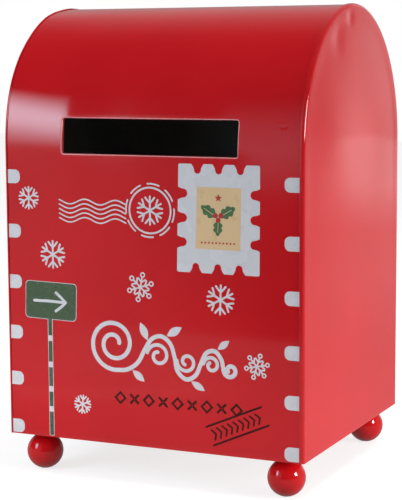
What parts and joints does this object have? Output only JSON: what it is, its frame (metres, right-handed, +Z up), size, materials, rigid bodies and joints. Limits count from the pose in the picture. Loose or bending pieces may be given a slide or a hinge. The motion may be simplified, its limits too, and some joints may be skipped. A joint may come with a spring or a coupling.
{
  "type": "tin money box",
  "caption": "Barrel-topped sheet-metal money box shaped like a letter box, with a wide front slot, ball feet and a hinged rear door with a turn latch.",
  "frame": {"origin": "on the floor, under the centre of the bounding box", "axes": "+X to the right of the front, +Y towards the rear door, +Z up"},
  "size_m": [0.172, 0.1618, 0.253],
  "materials": {
    "red_sheet": "satin gloss red paint on thin sheet",
    "red_ball": "gloss red paint on a turned ball",
    "zinc_steel": "zinc plated",
    "rivet_metal": "plain",
    "nickel_knob": "bright nickel plate"
  },
  "bodies": {
    "box": {"body_wrap": "red_sheet", "left_end_panel": "red_sheet", "right_end_panel": "red_sheet", "base_panel": "red_sheet", "front_left_foot": "red_ball", "front_right_foot": "red_ball", "back_left_foot": "red_ball", "back_right_foot": "red_ball", "foot_washers": "zinc_steel", "foot_screws": "zinc_steel", "upper_hinge_body_leaf": "zinc_steel", "upper_hinge_pin": "zinc_steel", "lower_hinge_body_leaf": "zinc_steel", "lower_hinge_pin": "zinc_steel", "body_leaf_rivets": "rivet_metal"},
    "door": {"rear_door": "red_sheet", "upper_hinge_door_leaf": "zinc_steel", "lower_hinge_door_leaf": "zinc_steel", "door_leaf_rivets": "rivet_metal"},
    "latch": {"latch_knob": "nickel_knob", "latch_spindle": "zinc_steel", "latch_spacer": "zinc_steel", "latch_cam": "zinc_steel", "latch_nut": "zinc_steel"}
  },
  "joints": [
    {"name": "rear_door_swing", "type": "hinge", "parent": "box", "child": "door", "pos_m": [0.0582, 0.0723, 0.09505], "axis": [0, 0, -1], "range_deg": [0, 115]},
    {"name": "latch_turn", "type": "hinge", "parent": "door", "child": "latch", "pos_m": [-0.043, 0.07195, 0.09505], "axis": [0, 1, 0], "range_deg": [0, 90]}
  ]
}
